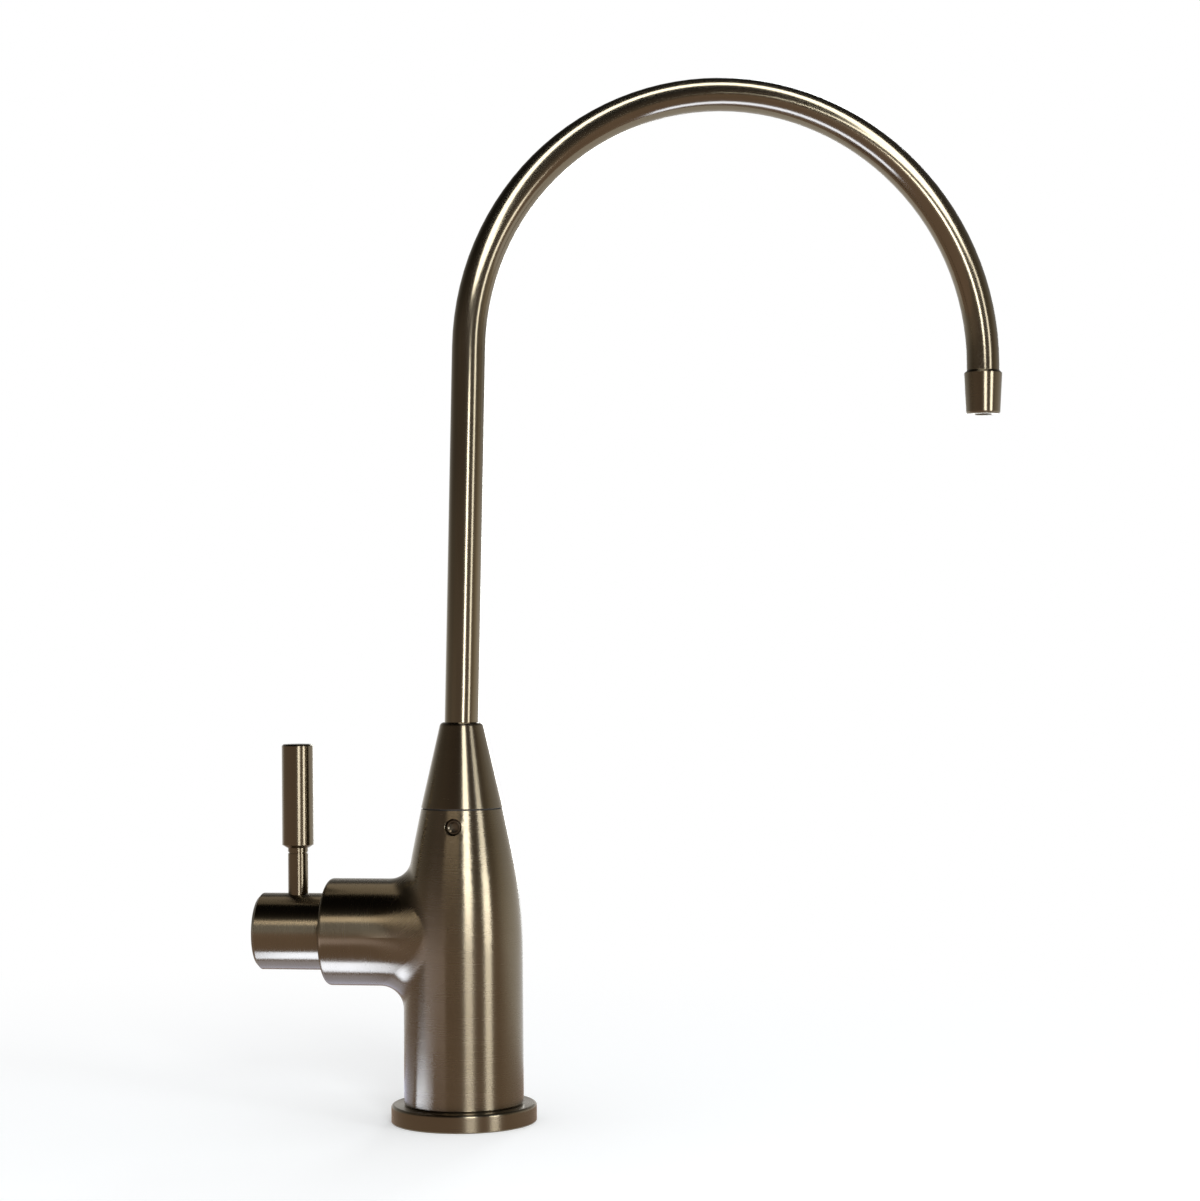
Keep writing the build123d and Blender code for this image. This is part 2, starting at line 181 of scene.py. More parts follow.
bpy.context.scene.view_settings.view_transform = "Standard"
world = bpy.data.worlds.new("white_room")
bpy.context.scene.world = world
world.use_nodes = True
world.cycles.sampling_method = "NONE"
room = world.node_tree
room.nodes.clear()
seen = seen_rays(room)
strength = put(room, "MapRange", i0=seen, i1=0.0, i2=1.0, i3=fill_strength, i4=1.0).outputs[0]
background = put(room, "Background", Color=plain_white, Strength=strength)
room.links.new(background.outputs[0], room.nodes.new("ShaderNodeOutputWorld").inputs["Surface"])
print("world fill:", fill_strength)

# %% [markdown]
# ## The floor
#
# The floor is one large plane. Near the tap it is a matt pale surface, so it keeps the tap's
# soft shadow and darkens under the base. Further out it turns into the same plain white as
# the world, and the line where the two meet disappears.

# %% Lay the floor
floor_size = 12.0
floor_albedo = 0.9
floor_glow = 0.22
white_from = 0.10
white_at = 0.42

bpy.ops.mesh.primitive_plane_add(size=floor_size, location=(0, 0, 0))
floor = bpy.context.object
floor.name = "floor"
floor_material, tree = start_material("pale_floor")
place = put(tree, "TexCoord").outputs["Object"]
far_share = spread(tree, compute_vector(tree, "LENGTH", place), white_from, white_at, 0.0, 1.0)
seen = seen_rays(tree)
matt = put(tree, "BsdfDiffuse", Color=(floor_albedo, floor_albedo, floor_albedo, 1))
glow_strength = compute(tree, "MULTIPLY", seen, floor_glow)
glow = put(tree, "Emission", Color=plain_white, Strength=glow_strength)
near = put(tree, "AddShader", i0=matt.outputs[0], i1=glow.outputs[0])
far = put(tree, "Emission", Color=plain_white, Strength=1.0)
far_share = compute(tree, "MULTIPLY", far_share, seen)
mix = put(tree, "MixShader", Fac=far_share, i1=near.outputs[0], i2=far.outputs[0])
show(tree, mix.outputs[0])
floor.data.materials.append(floor_material)
print("floor:", floor_size, "m wide, matt within", white_from, "m")

# %% [markdown]
# ## The tent
#
# Brushed metal shows its surroundings. In a white room it would look flat, so photographers
# hang cloth around it and let only a few lamps shine in: the cloth makes the deep browns, the
# lamps make the cream stripes. The tent is half of a sphere. The camera can't see it, it
# shades nothing, and it gives no fill light: it is there for the metal alone.

# %% Hang the tent
tent_radius = 2.0
tent_sides = 48
tent_rings = 24


def facing(side, rise):
    """The direction at an angle right of the camera and an angle above the floor."""
    return Vector((
        sin(camera_turn + side) * cos(rise), -cos(camera_turn + side) * cos(rise), sin(rise)))


def hide_from_light(piece):
    """The piece shows only in reflections: no camera, no shadow, no fill."""
    piece.visible_camera = False
    piece.visible_diffuse = False
    piece.visible_shadow = False


bpy.ops.object.select_all(action="DESELECT")
bpy.ops.mesh.primitive_uv_sphere_add(
    segments=tent_sides, ring_count=tent_rings, radius=tent_radius, location=(0, 0, 0))
tent = bpy.context.object
tent.name = "tent"
bpy.ops.object.mode_set(mode="EDIT")
bpy.ops.mesh.select_mode(type="FACE")
bpy.ops.mesh.select_all(action="DESELECT")
bpy.ops.object.mode_set(mode="OBJECT")
for face in tent.data.polygons:
    face.select = face.center.z < 0
bpy.ops.object.mode_set(mode="EDIT")
bpy.ops.mesh.delete(type="FACE")
bpy.ops.object.mode_set(mode="OBJECT")
hide_from_light(tent)
print("tent faces:", len(tent.data.polygons))

# %% [markdown]
# The cloth is dark brown in front, lighter at the right side, darker at the left, and white
# behind the tap, so that the edges of every round piece stay light. Towards the roof all of it
# turns black. One colour ramp runs round the tent, by the angle right of the camera, and one
# runs up it, and their product is the cloth's colour. It is a plain emission, because its
# brightness in the metal should stay as written.

# %% Colour the tent
cloth_round = [
    (-150, (0.96, 0.95, 0.92, 1)), (-124, (0.62, 0.62, 0.60, 1)), (-100, (0.36, 0.33, 0.29, 1)),
    (-82, (0.30, 0.27, 0.23, 1)), (-60, (0.33, 0.28, 0.23, 1)), (-20, (0.28, 0.23, 0.19, 1)),
    (20, (0.22, 0.18, 0.15, 1)), (60, (0.32, 0.27, 0.20, 1)), (76, (0.44, 0.38, 0.28, 1)),
    (92, (0.76, 0.69, 0.56, 1)), (112, (0.96, 0.94, 0.90, 1))]
cloth_up = [(5, 1.0), (11, 0.55), (19, 0.46), (28, 0.30), (38, 0.13), (48, 0.05), (58, 0.02)]


def ramp_stops(ramp, stops):
    """Fills a colour ramp with (position, colour) pairs."""
    elements = ramp.color_ramp.elements
    while len(elements) > 1:
        elements.remove(elements[-1])
    elements[0].position, elements[0].color = stops[0]
    for position, colour in stops[1:]:
        elements.new(position).color = colour


tent_material, tree = start_material("cloth")
way = compute_vector(tree, "NORMALIZE", put(tree, "TexCoord").outputs["Object"])
forwards = compute_vector(tree, "DOT_PRODUCT", way, tuple(facing(0, 0)))
rightwards = compute_vector(tree, "DOT_PRODUCT", way, tuple(facing(pi / 2, 0)))
angle_round = compute(tree, "ARCTAN2", rightwards, forwards)
share_round = compute(tree, "MULTIPLY_ADD", angle_round, 1 / (2 * pi), 0.5)
round_ramp = put(tree, "ValToRGB", Fac=share_round)
ramp_stops(round_ramp, [(angle / 360 + 0.5, colour) for angle, colour in cloth_round])
up_ramp = put(tree, "ValToRGB", Fac=put(tree, "SeparateXYZ", i0=way).outputs[2])
ramp_stops(up_ramp, [(sin(radians(angle)), (grey, grey, grey, 1)) for angle, grey in cloth_up])
cloth = compute_vector(tree, "MULTIPLY", round_ramp.outputs["Color"], up_ramp.outputs["Color"])
show_glow(tree, cloth)
tent.data.materials.append(tent_material)

# %% [markdown]
# The floor in front of the tap would send white up into the lower body and the underside of
# the branch. A brown card that lies there, also seen only in reflections, gives them the warm
# brown of a wooden bench. It is a disc cut off a little behind the tap. The cut is turned, so
# more of it is left on the left: there the body's edge is dark, on the right it is light.

# %% Lay the brown card
card_radius = 2.0
card_back = 0.10
card_turn = radians(-20)
card_lift = 0.0004
card_brown = (0.44, 0.33, 0.26, 1)
front = facing(card_turn, 0)

bpy.ops.object.select_all(action="DESELECT")
bpy.ops.mesh.primitive_circle_add(
    vertices=tent_sides, radius=card_radius, fill_type="NGON", location=(0, 0, card_lift))
card = bpy.context.object
card.name = "brown_card"
bpy.ops.object.mode_set(mode="EDIT")
bpy.ops.mesh.bisect(
    plane_co=tuple(-front * card_back), plane_no=tuple(front), clear_inner=True, use_fill=False)
bpy.ops.object.mode_set(mode="OBJECT")
hide_from_light(card)
card_material, tree = start_material("brown_card")
show_glow(tree, card_brown)
card.data.materials.append(card_material)
print("card corners:", len(card.data.vertices))

# %% [markdown]
# ## The lamps
#
# Two large soft boxes make the two stripes that run up the body and the cone, and two smaller
# ones those on the riser. A lamp's brightness is what the metal mirrors, so it is set as
# radiance, and the power in watts follows from the lamp's area.

# %% Set up the lamps
tap_middle = Vector((0.02, 0.01, 0.15))


def soft_box(name, side, rise, distance, width, height, radiance, colour, aim_at=tap_middle):
    """A rectangular lamp at a direction from the tap, turned to face it."""
    lamp_data = bpy.data.lights.new(name, "AREA")
    lamp_data.shape = "RECTANGLE"
    lamp_data.size, lamp_data.size_y = width, height
    lamp_data.energy = radiance * pi * width * height
    lamp_data.color = colour
    lamp = bpy.data.objects.new(name, lamp_data)
    bpy.context.collection.objects.link(lamp)
    outwards = facing(radians(side), radians(rise))
    turned = outwards.to_track_quat("Z", "Y").to_matrix().to_4x4()
    lamp.matrix_world = Matrix.Translation(aim_at + outwards * distance) @ turned
    print(f"{name}: {lamp_data.energy:.2f} W")
    return lamp


white = (0.90, 0.96, 1.0)
day = (0.52, 0.66, 1.0)
tall_lamp = soft_box("tall_lamp", 12.5, 13, 1.4, 0.37, 0.80, 12.0, white)
side_lamp = soft_box("side_lamp", 51, 3, 1.4, 0.33, 0.46, 13.0, white)
riser_lamp = soft_box("riser_lamp", 12, 2, 1.4, 0.22, 0.34, 14.0, white)
riser_side_lamp = soft_box("riser_side_lamp", 51, 6, 1.4, 0.24, 0.60, 6.0, white)

# %% [markdown]
# Some lamps are for one piece only. On the crown of the spout the two large lamps would show
# as wide patches, so they are kept off the tube, and the two smaller ones light nothing else.
# Blender's light linking does that: a lamp gets a collection of the pieces that it lights, or
# of those that it leaves out.

# %% Link lamps to pieces
def lamp_for(lamp, title, names, state="INCLUDE"):
    """Lights only the named pieces, or all but them."""
    receivers = bpy.data.collections.new(title)
    for name in names:
        receivers.objects.link(nodes[name] if name in nodes else bpy.data.objects[name])
    for entry in receivers.collection_objects:
        entry.light_linking.link_state = state
    lamp.light_linking.receiver_collection = receivers


for lamp in (tall_lamp, side_lamp):
    lamp_for(lamp, lamp.name + "_off_the_tube", ["spout_tube"], "EXCLUDE")
for lamp in (riser_lamp, riser_side_lamp):
    lamp_for(lamp, lamp.name + "_on_the_tube", ["spout_tube"])

# %% [markdown]
# The swan neck turns under its lamps, so one straight lamp would light only a piece of it. A
# ring light that leans over it runs along with the arch, and its mirror image stays a thin
# line from the riser to the nozzle. It is a ring mesh that glows. Its lowest part would draw
# a second line, so it is cut away.

# %% Bend the ring light
ring_middle = (0.1583, -0.1650, 0.4210)
ring_radius = 0.188
ring_thickness = 0.048
ring_swing = radians(20)
ring_lean = radians(57.4)
ring_foot = 0.320
ring_radiance = 9.0
ring_sides = 96
ring_facets = 16

bpy.ops.object.select_all(action="DESELECT")
bpy.ops.mesh.primitive_torus_add(
    location=ring_middle, rotation=(ring_lean, 0, ring_swing),
    major_segments=ring_sides, minor_segments=ring_facets,
    major_radius=ring_radius, minor_radius=ring_thickness)
ring = bpy.context.object
ring.name = "ring_light"
bpy.ops.object.transform_apply(location=True, rotation=True, scale=True)
bpy.ops.object.mode_set(mode="EDIT")
bpy.ops.mesh.select_all(action="SELECT")
bpy.ops.mesh.bisect(
    plane_co=(0, 0, ring_foot), plane_no=(0, 0, -1), clear_outer=True, use_fill=True)
bpy.ops.object.mode_set(mode="OBJECT")
hide_from_light(ring)
ring_material, tree = start_material("ring_glow")
show_glow(tree, (*white, 1), ring_radiance)
ring.data.materials.append(ring_material)
lamp_for(ring, "swan_neck", ["spout_tube"])
print("ring light corners:", len(ring.data.vertices))

# %% [markdown]
# What faces the floor is lit by a cooler white, as from a low window. Here small cards that
# shine upwards do that: two under the branch, and one before the tap for the inside of the
# swan neck. Warm lamps light the front and the top of the branch, and a stronger one draws
# the stripe on the hub. A low, weak lamp in lilac colours the foot of the body on the left.
# The last one is narrow and stands behind the tap for whoever walks round it. It is kept off
# the base, whose top would mirror it to the front.

# %% Set up the small lamps
branch_top = Vector((-0.035, 0.0, 0.06))
body_foot = Vector((0, 0, 0.020))
warm = (1.0, 0.90, 0.74)
lilac = (0.90, 0.86, 1.0)


def floor_card(name, middle, width, depth, radiance, colour, turned=0.0):
    """A small lamp that lies near the floor and shines upwards."""
    lamp = soft_box(name, 0, 0, 0, width, depth, radiance, colour)
    flat = Matrix.Rotation(radians(turned), 4, "Z") @ Matrix.Rotation(pi, 4, "X")
    lamp.matrix_world = Matrix.Translation(Vector(middle)) @ flat
    return lamp


window_in_front = floor_card(
    "window_in_front", (0.137, -0.093, 0.002), 0.34, 0.10, 8.0, day, turned=22)
lamp_for(window_in_front, "swan_neck_inside", ["spout_tube"])
branch_lamps = [
    floor_card("window_under_branch", (-0.053, -0.025, 0.0015), 0.048, 0.026, 9.5, day),
    floor_card("window_behind_branch", (-0.060, 0.026, 0.0015), 0.056, 0.060, 1.1, day),
    soft_box("lamp_over_branch", 180, 68, 0.4, 0.25, 0.28, 0.7, warm, aim_at=branch_top)]
for lamp in branch_lamps:
    lamp_for(lamp, lamp.name + "_pieces", ["body_casting", "valve_hub"])
lamp_on_branch = soft_box("lamp_on_branch", -24, 27, 1.4, 0.80, 0.26, 2.6, warm)
lamp_for(lamp_on_branch, "branch_front", ["body_casting"])
lamp_on_hub = soft_box("lamp_on_hub", -9, 27, 1.4, 0.30, 0.26, 13.0, warm)
lamp_for(lamp_on_hub, "hub_front", ["valve_hub"])
bench_on_left = soft_box("bench_on_left", -51, 0, 0.16, 0.12, 0.030, 1.0, lilac, aim_at=body_foot)
lamp_for(bench_on_left, "body_left", ["body_casting"])
back_lamp = soft_box("back_lamp", 168, 13, 1.4, 0.28, 0.90, 6.0, white)
lamp_for(back_lamp, "off_the_base", ["base_flange"], "EXCLUDE")

# %% [markdown]
# ## Brushing
#
# A brushed finish is thousands of fine lines that run round the turned piece. Two things
# show it: the lines themselves, and highlights that smear across them. The lines are a noise
# that is squeezed along the piece's axis and stretched around it. How deep a point lies
# across the lines is the noise's fourth dimension, so flat ends get rings from the same group
# as round sides.

# %% Build the brushing group
def start_group(name, inputs, outputs):
    """A new node group; inputs and outputs are (name, socket type, default)."""
    group = bpy.data.node_groups.new(name, "ShaderNodeTree")
    for label, kind, value in inputs:
        socket = group.interface.new_socket(label, in_out="INPUT", socket_type="NodeSocket" + kind)
        if value is not None:
            socket.default_value = value
    for label, kind in outputs:
        group.interface.new_socket(label, in_out="OUTPUT", socket_type="NodeSocket" + kind)
    given = group.nodes.new("NodeGroupInput").outputs
    return group, given, group.nodes.new("NodeGroupOutput").inputs


band_share = 0.16
cloud_scale = 38.0

brushing, given, result = start_group(
    "brushing",
    [("Place", "Vector", None), ("Depth", "Float", 0.0), ("Line Width", "Float", 0.0003),
     ("Line Length", "Float", 0.006)],
    [("Lines", "Float"), ("Bands", "Float"), ("Clouds", "Float")])
per_length = compute(brushing, "DIVIDE", 1.0, given["Line Length"])
round_place = compute_vector(brushing, "SCALE", given["Place"], Scale=per_length)
across = compute(brushing, "DIVIDE", given["Depth"], given["Line Width"])
for label, share, detail in (("Lines", 1.0, 3.0), ("Bands", band_share, 1.0)):
    noise = put(
        brushing, "TexNoise", {"noise_dimensions": "4D"}, Vector=round_place,
        W=compute(brushing, "MULTIPLY", across, share), Scale=1.0, Detail=detail)
    brushing.links.new(noise.outputs[0], result[label])
clouds = put(brushing, "TexNoise", Vector=given["Place"], Scale=cloud_scale, Detail=2.0)
brushing.links.new(clouds.outputs[0], result["Clouds"])

# %% [markdown]
# ## Worn edges and marks
#
# Handling polishes the edges first. The Bevel node rounds a normal near an edge, so where it
# differs from the true normal there is an edge. A noise breaks that mask up. At an edge the
# rounded normal goes into the shading too, so it catches a thin line of light; elsewhere the
# true normal stays, because the rounded one is a little rough on a narrow cylinder. Small
# marks are the few bright specks and the faint smudges that any used tap has.

# %% Build the edge and mark groups
bevel_samples = 6
flat_match, edge_match = 0.995, 0.90
fleck_low, fleck_high, least_fleck = 0.32, 0.62, 0.35
least_speck = 0.4
smudge_scale = 95.0
smudge_low, smudge_high = 0.45, 0.75

edges, given, result = start_group(
    "worn_edges",
    [("Radius", "Float", 0.0003), ("Break Up", "Float", 900.0)],
    [("Edge", "Float"), ("Normal", "Vector")])
rounded = put(edges, "Bevel", {"samples": bevel_samples}, Radius=given["Radius"]).outputs[0]
true_normal = put(edges, "NewGeometry").outputs["Normal"]
match = compute_vector(edges, "DOT_PRODUCT", rounded, true_normal)
bare = spread(edges, match, flat_match, edge_match, 0.0, 1.0)
place = put(edges, "TexCoord").outputs["Object"]
flecks = put(edges, "TexNoise", Vector=place, Scale=given["Break Up"], Detail=2.0)
flecks = spread(edges, flecks.outputs[0], fleck_low, fleck_high, least_fleck, 1.0)
edges.links.new(compute(edges, "MULTIPLY", bare, flecks), result["Edge"])
eased = mixed(edges, bare, true_normal, rounded)
edges.links.new(compute_vector(edges, "NORMALIZE", eased), result["Normal"])

marks, given, result = start_group(
    "small_marks",
    [("Place", "Vector", None), ("Spacing", "Float", 0.011), ("Size", "Float", 0.00014)],
    [("Specks", "Float"), ("Smudges", "Float")])
cells_per_metre = compute(marks, "DIVIDE", 1.0, given["Spacing"])
cells = put(marks, "TexVoronoi", Vector=given["Place"], Scale=cells_per_metre)
size_share = compute(marks, "DIVIDE", given["Size"], given["Spacing"])
chance = put(marks, "SeparateXYZ", i0=cells.outputs["Color"])
reach = compute(marks, "ADD", chance.outputs[0], least_speck)
reach = compute(marks, "MULTIPLY", size_share, reach)
speck = compute(marks, "LESS_THAN", cells.outputs["Distance"], reach)
marks.links.new(compute(marks, "MULTIPLY", speck, chance.outputs[1]), result["Specks"])
smudge = put(
    marks, "TexNoise", Vector=given["Place"], Scale=smudge_scale, Detail=4.0, Roughness=0.62)
smudge = spread(marks, smudge.outputs[0], smudge_low, smudge_high, 0.0, 1.0)
marks.links.new(smudge, result["Smudges"])
print("groups:", [group.name for group in bpy.data.node_groups])

# %% [markdown]
# ## Where the lines run
#
# The brushing group needs two things from each piece: a point's place, measured from the
# turning axis, and how deep it lies across the lines. On a turned piece that depth is the
# distance along the axis plus the distance from it. Highlights smear across the lines, so the
# shader also needs the direction in which the lines run round the axis.

# %% Measure a turned piece
def place_from(tree, centre):
    """A point's place on its piece, measured from a centre."""
    place = put(tree, "TexCoord").outputs["Object"]
    options = {"vector_type": "TEXTURE"}
    return put(tree, "Mapping", options, Vector=place, Location=tuple(centre)).outputs[0]


def turned_place(tree, centre, axis):
    """Place from the axis, depth across the lines and the lines' direction."""
    place = place_from(tree, centre)
    along = compute_vector(tree, "DOT_PRODUCT", place, axis)
    circling = compute_vector(tree, "CROSS_PRODUCT", axis, place)
    radius = compute_vector(tree, "LENGTH", circling)
    return place, compute(tree, "ADD", along, radius), circling


# %% [markdown]
# ## The bronze finish
#
# The real finish is a thin nickel-bronze layer over polished brass: a dark, warm grey metal.
# It is metallic all over. Its lines barely change its colour; they give it a very fine bump
# and a little more or less shine. Edges are lighter where the layer thins. How far highlights
# smear across the lines, and how sharp they stay along them, are the two widths of a brushed
# highlight. Roughness is the fourth root of their product. At full anisotropy the shader makes
# the narrow width a tenth of the wide one, which takes nine tenths of it away, so anisotropy
# is the share that these two widths take away, divided by nine tenths.

# %% Build the bronze
bronze = [(0.168, 0.136, 0.092, 1), (0.222, 0.184, 0.130, 1), (0.42, 0.36, 0.26, 1)]
edge_radius = 0.00018
line_tint = 0.22
worn_share = 0.6
edge_polish = 0.05
bump_per_uneven = 40
bump_depth = 0.000008
full_narrowing = 0.9
quarter_turn = 0.25


def brushed_metal(name, lines, tones=bronze, smear=0.15, focus=0.034, line_width=0.00026,
                  line_length=0.012, uneven=0.003):
    """Brushed metal; lines(tree) gives its sets of lines and the share of the second set."""
    dark, light, worn_tone = tones
    material, tree = start_material(name)
    sets, share = lines(tree)
    layers = []
    for place, depth, way in sets:
        brushed = put(tree, "Group", {"node_tree": brushing}, Place=place, Depth=depth,
                      Line_Width=line_width, Line_Length=line_length)
        layers.append([*brushed.outputs, way])
    if share is None:
        fine, bands, clouds, way = layers[0]
    else:
        fine, bands, clouds, way = [mixed(tree, share, *pair) for pair in zip(*layers)]
    worn = put(tree, "Group", {"node_tree": edges}, Radius=edge_radius)
    marked = put(tree, "Group", {"node_tree": marks}, Place=sets[0][0])
    colour = blend_colours(tree, clouds, dark, light)
    colour = blend_colours(tree, spread(tree, fine, 0.3, 0.7, 0.0, line_tint), colour, light)
    lighter = compute(tree, "MAXIMUM", worn.outputs["Edge"], marked.outputs["Specks"])
    lighter = compute(tree, "MULTIPLY", lighter, worn_share)
    colour = blend_colours(tree, lighter, colour, worn_tone)
    middle = (smear * focus) ** 0.25
    rough = spread(tree, fine, 0.25, 0.75, middle - uneven, middle + uneven)
    rough = compute(tree, "ADD", rough, spread(tree, bands, 0.3, 0.7, -uneven, uneven))
    smudged = compute(tree, "MULTIPLY", marked.outputs["Smudges"], uneven * 2)
    rough = compute(tree, "ADD", rough, smudged)
    polished = compute(tree, "MULTIPLY", worn.outputs["Edge"], edge_polish)
    rough = compute(tree, "SUBTRACT", rough, polished)
    bump = put(tree, "Bump", Strength=uneven * bump_per_uneven, Distance=bump_depth,
               Height=fine, Normal=worn.outputs["Normal"])
    tangent = put(tree, "VectorTransform", {
        "vector_type": "VECTOR", "convert_from": "OBJECT", "convert_to": "WORLD"}, Vector=way)
    shader = put(tree, "BsdfPrincipled", Base_Color=colour, Roughness=rough, Metallic=1.0,
                 Normal=bump.outputs[0], Tangent=tangent.outputs[0],
                 Anisotropic=(1 - focus / smear) / full_narrowing,
                 Anisotropic_Rotation=quarter_turn)
    show(tree, shader.outputs[0])
    return material


def dress(material, *names):
    """Gives CAD nodes a finish."""
    for name in names:
        nodes[name].data.materials.clear()
        nodes[name].data.materials.append(material)


# %% [markdown]
# ## The turned pieces
#
# Base, cone, nozzle, hub, stem and grip are each turned about their own axis, so each gets
# the bronze with its lines round that axis. Base and cone share the tap's own axis, and the
# others come from the middle of a piece's box in the frame.

# %% Dress the turned pieces
upright = (0, 0, 1)
sideways = (1, 0, 0)


def middle_of(name):
    """The middle of a CAD node's box."""
    low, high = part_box(name)
    return (low + high) / 2


def turned_lines(centre, axis):
    """One set of lines round an axis."""
    return lambda tree: ([turned_place(tree, centre, axis)], None)


hub_middle = middle_of("valve_hub")
grip_middle = middle_of("lever_grip")
nozzle_middle = middle_of("outlet_nozzle")
tap_axis = turned_lines((0, 0, 0), upright)
valve_axis = turned_lines(hub_middle, sideways)
lever_axis = turned_lines(grip_middle, upright)
nozzle_axis = turned_lines(nozzle_middle, upright)
dress(brushed_metal("bronze_base", tap_axis), "base_flange")
dress(brushed_metal("bronze_cone", tap_axis), "spout_cone")
dress(brushed_metal("bronze_hub", valve_axis, smear=0.16), "valve_hub")
dress(brushed_metal("bronze_nozzle", nozzle_axis, line_length=0.004), "outlet_nozzle")
dress(brushed_metal("bronze_lever", lever_axis, line_length=0.004), "lever_stem", "lever_grip")
print("hub middle:", tuple(round(value, 4) for value in hub_middle))

# %% [markdown]
# ## The body
#
# The body is brushed upright like a bottle, but its branch is brushed round its own, level
# axis. So both sets of lines are worked out, and one share, 0 on the branch and 1 on the
# bottle, mixes them where the two shapes flow into each other. There the highlights turn from
# one direction to the other. Below its axis the branch's direction is turned round, because
# it would otherwise cancel out the bottle's.

# %% Dress the body
branch_reach = 0.0290
bottle_reach = 0.0090
branch_half = 0.0165
branch_edge = 0.0280


def body_lines(tree):
    """Lines round the bottle, and round the branch to the left of it."""
    place, depth, way = turned_place(tree, (0, 0, hub_middle.z), sideways)
    sides = put(tree, "SeparateXYZ", i0=place)
    right_share = spread(tree, sides.outputs[0], -branch_reach, -bottle_reach, 0.0, 1.0)
    off_axis = compute(tree, "ABSOLUTE", sides.outputs[2])
    above_share = spread(tree, off_axis, branch_half, branch_edge, 0.0, 1.0)
    share = compute(tree, "MAXIMUM", right_share, above_share)
    way = compute_vector(tree, "SCALE", way, Scale=compute(tree, "SIGN", sides.outputs[2]))
    return [(place, depth, way), turned_place(tree, (0, 0, 0), upright)], share


dress(brushed_metal("bronze_body", body_lines, uneven=0.007), "body_casting")

# %% [markdown]
# ## The swan neck
#
# A drawn tube is polished lengthwise before it is bent, so its lines run along the tube. The
# tube's direction is upright in the riser and turns with the arch above it. From the arch's
# centre that is one formula: below the centre's height the height is taken as zero, and the
# tube runs square to the line from the centre. A place on the tube is then its length along
# the tube, its distance from the arch's centre, and its distance from the plane of the arch.
# The last two are squeezed, which draws the noise out into lengthwise lines.

# %% Dress the tube
tube_radius = 0.0050
arch_radius = 0.0800
arch_across = 0.0829
spout_swing = radians(20)
tube_squeeze = 14.0
arch_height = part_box("spout_tube")[1].z - arch_radius - tube_radius
arch_way = Vector((cos(spout_swing), sin(spout_swing), 0))
arch_side = Vector((-sin(spout_swing), cos(spout_swing), 0))
arch_centre = arch_way * arch_across + Vector((0, 0, arch_height))


def tube_lines(tree):
    """Lines along the bent tube; highlights smear a little round it."""
    place = place_from(tree, arch_centre)
    out = compute_vector(tree, "DOT_PRODUCT", place, tuple(arch_way))
    aside = compute_vector(tree, "DOT_PRODUCT", place, tuple(arch_side))
    height = put(tree, "SeparateXYZ", i0=place).outputs[2]
    above = compute(tree, "MAXIMUM", height, 0.0)
    below = compute(tree, "MINIMUM", height, 0.0)
    inwards = compute(tree, "MULTIPLY", out, -1.0)
    angle = compute(tree, "ARCTAN2", above, inwards)
    length = compute(tree, "MULTIPLY_ADD", angle, arch_radius, below)
    from_centre = put(tree, "CombineXYZ", X=inwards, Y=above).outputs[0]
    from_centre = compute_vector(tree, "LENGTH", from_centre)
    outer, aside = [
        compute(tree, "MULTIPLY", value, tube_squeeze) for value in (from_centre, aside)]
    on_tube = put(tree, "CombineXYZ", X=length, Y=outer, Z=aside).outputs[0]
    level = compute_vector(tree, "SCALE", tuple(arch_way), Scale=above)
    rise = put(tree, "CombineXYZ", Z=inwards).outputs[0]
    return [(on_tube, 0.0, compute_vector(tree, "ADD", level, rise))], None


tube_bronze = brushed_metal(
    "bronze_tube", tube_lines, smear=0.030, focus=0.015, line_length=0.004, uneven=0.001)
dress(tube_bronze, "spout_tube")
print("arch centre:", tuple(round(value, 4) for value in arch_centre))

# %% [markdown]
# ## The hidden metal parts
#
# Under the worktop and inside the body sit plain turned parts. Brass nuts, the headwork and
# the spindle come straight from the lathe, so their lines are tool marks, which change the
# shine more than brushing does. The steel washer and the circlip are zinc plated. They all
# use the same finish with other tones.

# %% Dress the hidden metal
brass = [(0.43, 0.31, 0.13, 1), (0.56, 0.42, 0.19, 1), (0.76, 0.62, 0.34, 1)]
zinc = [(0.36, 0.365, 0.37, 1), (0.50, 0.505, 0.51, 1), (0.70, 0.70, 0.70, 1)]
lathe = {
    "smear": 0.14, "focus": 0.06, "line_width": 0.00018, "line_length": 0.020, "uneven": 0.012}
pressed = {"smear": 0.20, "focus": 0.12, "line_width": 0.0006}

dress(brushed_metal("brass_nuts", tap_axis, brass, **lathe), "fixing_nut", "inlet_nut")
dress(brushed_metal("brass_headwork", valve_axis, brass, **lathe), "valve_housing", "valve_spindle")
dress(brushed_metal("zinc_washer", tap_axis, zinc, **pressed), "steel_washer")
dress(brushed_metal("zinc_circlip", valve_axis, zinc, smear=0.12, focus=0.08), "spindle_circlip")

# %% [markdown]
# ## Rubber, plastic and ceramic
#
# A moulded part takes the fine grain of its mould, is a little cloudy in colour, and has edges
# that handling has made paler. Rubber is matt, the slide ring and thrust washer are dull black
# plastic, the ferrule is milky white, and the ceramic discs are lapped so flat that they
# shine. One group gives the grain and the clouds, and one function mixes them in.

# %% Build the moulded finishes
mottle_scale = 140.0
moulded_edge = 0.00025
pale_share = 0.5

grain, given, result = start_group(
    "mould_grain",
    [("Place", "Vector", None), ("Grain Size", "Float", 0.0002)],
    [("Grain", "Float"), ("Clouds", "Float")])
fineness = compute(grain, "DIVIDE", 1.0, given["Grain Size"])
pits = put(grain, "TexNoise", Vector=given["Place"], Scale=fineness, Detail=3.0, Roughness=0.6)
grain.links.new(pits.outputs[0], result["Grain"])
mottle = put(grain, "TexNoise", Vector=given["Place"], Scale=mottle_scale, Detail=3.0)
grain.links.new(mottle.outputs[0], result["Clouds"])


